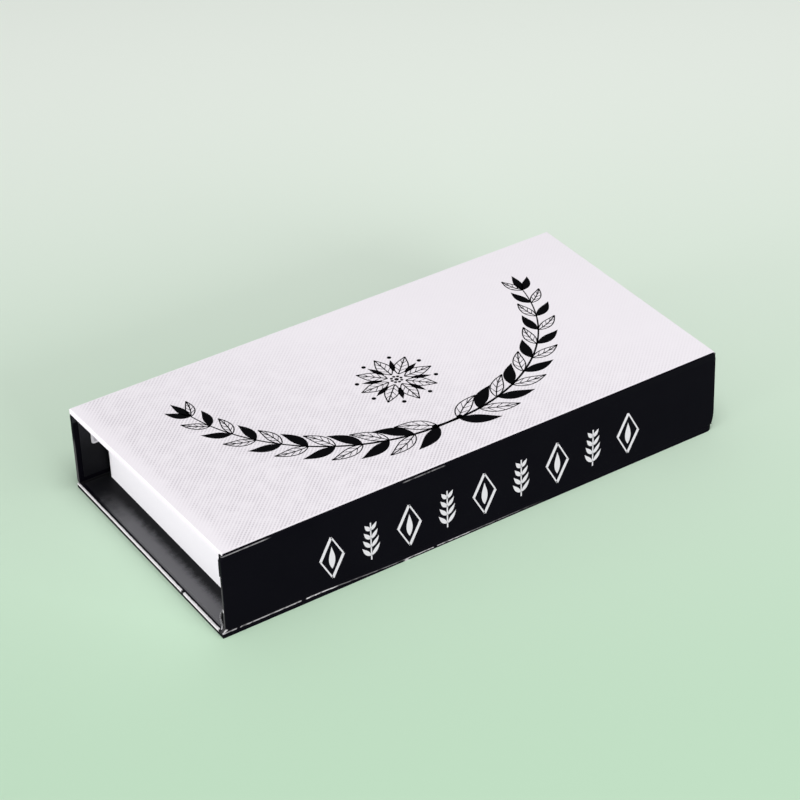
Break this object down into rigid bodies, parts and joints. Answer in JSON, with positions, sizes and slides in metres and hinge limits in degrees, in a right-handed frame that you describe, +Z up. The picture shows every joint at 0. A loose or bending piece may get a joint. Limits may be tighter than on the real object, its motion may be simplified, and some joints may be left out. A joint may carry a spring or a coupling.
{
  "type": "eyeshadow box",
  "caption": "Flat book-style paperboard cosmetic box with a white textured lid, black folding case, magnetic flap, inner tray of powder pans, mirror and applicator.",
  "frame": {"origin": "under the middle of the base, on the surface that the box stands on", "axes": "+X along the box's length, +Y from the front wall (spine) to the back wall (flap), +Z up"},
  "size_m": [0.2, 0.1, 0.033],
  "materials": {
    "grey_board": "matte",
    "black_paper": "satin",
    "black_lining": "satin",
    "white_cover_paper": "matte",
    "tray_white_paper": "matte",
    "black_foam": "matte",
    "tin_plate": "satin",
    "nickel": "satin",
    "mirror": "polished",
    "black_plastic": "gloss",
    "sponge": "matte",
    "powder_ivory": "matte",
    "powder_peach": "matte",
    "powder_rose": "matte",
    "powder_terracotta": "matte",
    "powder_chestnut": "matte",
    "powder_espresso": "matte",
    "powder_cream": "matte",
    "powder_sand": "matte",
    "powder_caramel": "matte",
    "powder_cinnamon": "matte",
    "powder_plum": "matte",
    "powder_charcoal": "matte"
  },
  "bodies": {
    "base": {"base_board": "grey_board", "base_wrap": "black_paper", "base_lining": "black_lining", "base_crease": "black_paper", "tray_floor": "grey_board", "tray_front_wall": "grey_board", "tray_back_wall": "grey_board", "tray_left_wall": "grey_board", "tray_right_wall": "grey_board", "tray_paper": "tray_white_paper", "magnet_left": "nickel", "magnet_right": "nickel", "foam_base": "black_foam", "foam_deck": "black_foam", "pan_1": "tin_plate", "pan_2": "tin_plate", "pan_3": "tin_plate", "pan_4": "tin_plate", "pan_5": "tin_plate", "pan_6": "tin_plate", "pan_7": "tin_plate", "pan_8": "tin_plate", "pan_9": "tin_plate", "pan_10": "tin_plate", "pan_11": "tin_plate", "pan_12": "tin_plate", "powder_1": "powder_ivory", "powder_2": "powder_peach", "powder_3": "powder_rose", "powder_4": "powder_terracotta", "powder_5": "powder_chestnut", "powder_6": "powder_espresso", "powder_7": "powder_cream", "powder_8": "powder_sand", "powder_9": "powder_caramel", "powder_10": "powder_cinnamon", "powder_11": "powder_plum", "powder_12": "powder_charcoal", "applicator_handle": "black_plastic", "applicator_tip_left": "sponge", "applicator_tip_right": "sponge"},
    "spine": {"spine_board": "grey_board", "spine_wrap": "black_paper", "spine_lining": "black_lining"},
    "lid": {"lid_board": "grey_board", "lid_wrap": "black_paper", "lid_lining": "black_lining", "lid_cover_paper": "white_cover_paper", "lid_crease": "black_paper", "flap_crease": "black_paper", "lid_mirror": "mirror"},
    "flap": {"flap_board": "grey_board", "flap_wrap": "black_paper", "flap_lining": "black_lining", "catch_plate_left": "tin_plate", "catch_plate_right": "tin_plate"}
  },
  "joints": [
    {"name": "spine_hinge", "type": "hinge", "parent": "base", "child": "spine", "pos_m": [0, -0.05, 0.00225], "axis": [1, 0, 0], "range_deg": [0, 90]},
    {"name": "lid_hinge", "type": "hinge", "parent": "spine", "child": "lid", "pos_m": [0, -0.05, 0.03075], "axis": [1, 0, 0], "range_deg": [0, 90]},
    {"name": "flap_hinge", "type": "hinge", "parent": "lid", "child": "flap", "pos_m": [0, 0.05, 0.03075], "axis": [1, 0, 0], "range_deg": [0, 90]}
  ],
  "couplings": [
    {"joint": "spine_hinge", "follows": "lid_hinge", "ratio": 1}
  ]
}
